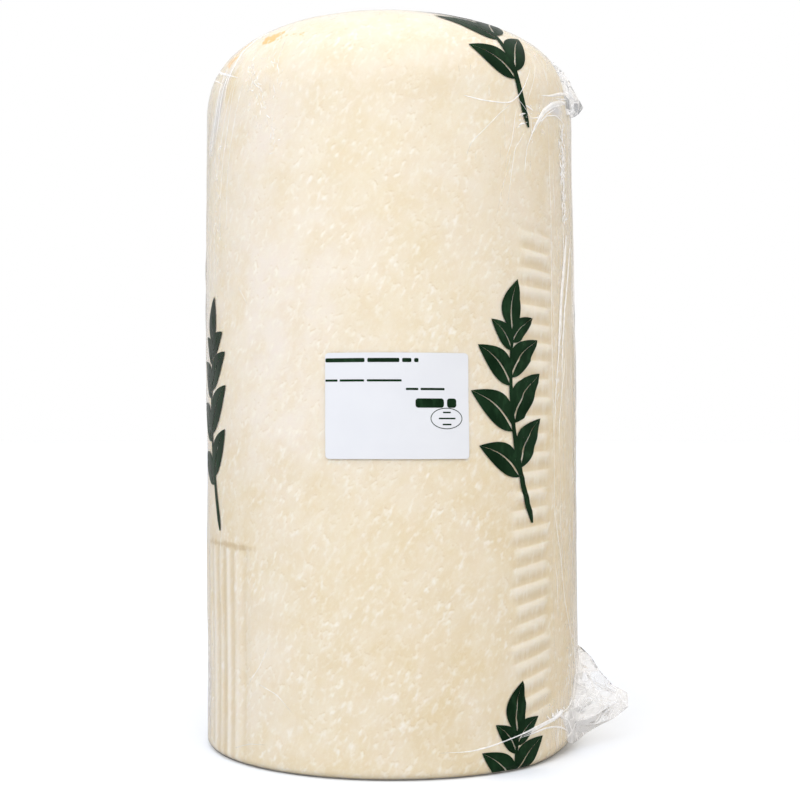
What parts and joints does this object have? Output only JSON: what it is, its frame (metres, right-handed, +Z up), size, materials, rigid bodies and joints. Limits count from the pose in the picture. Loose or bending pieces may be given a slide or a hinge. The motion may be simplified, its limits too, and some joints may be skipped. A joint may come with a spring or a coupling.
{
  "type": "provolone cheese",
  "caption": "Tall round-topped provolone cheese, vacuum packed in tight clear film with crumpled corner ears, printed leaf sprigs and a paper label.",
  "frame": {"origin": "centre of the flat base that the cheese stands on", "axes": "+Z up along the cheese, -Y towards the label side, +X towards the side with the bag's ears"},
  "size_m": [0.1742, 0.1532, 0.294],
  "materials": {
    "cheese": "soft cream curd, faintly mottled",
    "film": "clear glossy film, white along its creases",
    "print_ink": "dark green ink on the film",
    "label_paper": "smooth white label paper"
  },
  "bodies": {
    "root": {"sealed_cheese": "cheese", "label": "label_paper"}
  },
  "joints": []
}
